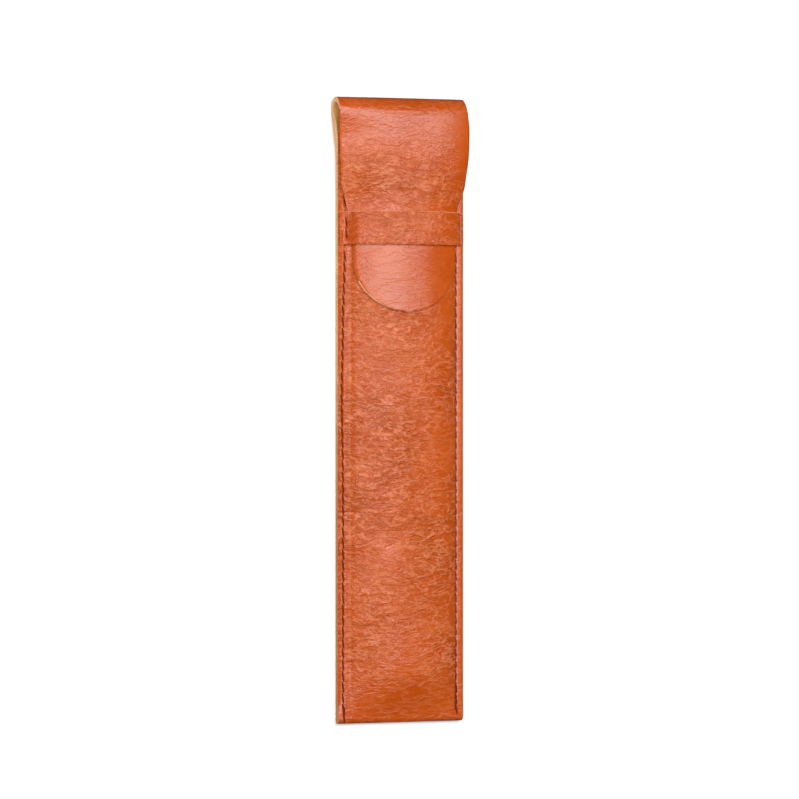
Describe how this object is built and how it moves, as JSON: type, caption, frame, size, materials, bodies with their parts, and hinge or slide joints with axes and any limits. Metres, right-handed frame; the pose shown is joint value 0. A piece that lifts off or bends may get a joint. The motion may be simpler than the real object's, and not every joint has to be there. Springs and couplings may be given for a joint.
{
  "type": "fountain pen case",
  "caption": "Slim orange-tan leather sleeve for one fountain pen, with a fold-over flap whose round tongue tucks under a sewn keeper strap.",
  "frame": {"origin": "middle of the case's back, on the surface that it lies on", "axes": "+Z out of the back's surface towards the front of the case, +Y along the case towards the top fold, +X to the right as seen from the front"},
  "size_m": [0.036, 0.17, 0.0109],
  "materials": {
    "leather_body": "gloss",
    "leather_keeper": "gloss",
    "thread": "matte"
  },
  "bodies": {
    "pouch": {"back_panel": "leather_body", "bottom_fold": "leather_body", "front_panel": "leather_body", "top_fold": "leather_body", "keeper_strap": "leather_keeper", "seam_thread_left_front": "thread", "seam_thread_left_back": "thread", "seam_thread_right_front": "thread", "seam_thread_right_back": "thread"},
    "flap_base": {"flap_base": "leather_body"},
    "flap_upper": {"flap_upper": "leather_body"},
    "flap_lower": {"flap_lower": "leather_body"},
    "tongue": {"tongue": "leather_body"}
  },
  "joints": [
    {"name": "flap_swing", "type": "hinge", "parent": "pouch", "child": "flap_base", "pos_m": [0, 0.0843, 0.0046], "axis": [-1, 0, 0], "range_deg": [0, 130], "deforming": ["top_fold", "tongue"]},
    {"name": "bow_upper", "type": "hinge", "parent": "flap_base", "child": "flap_upper", "pos_m": [0, 0.0775, 0.0092], "axis": [-1, 0, 0], "range_deg": [0, 60]},
    {"name": "bow_middle", "type": "hinge", "parent": "flap_upper", "child": "flap_lower", "pos_m": [0, 0.0661, 0.0078], "axis": [1, 0, 0], "range_deg": [0, 120]},
    {"name": "bow_tongue", "type": "hinge", "parent": "flap_lower", "child": "tongue", "pos_m": [0, 0.0547, 0.0092], "axis": [-1, 0, 0], "range_deg": [0, 60]}
  ],
  "couplings": [
    {"joint": "bow_middle", "follows": "bow_upper", "ratio": 2},
    {"joint": "bow_tongue", "follows": "bow_upper", "ratio": 1}
  ]
}
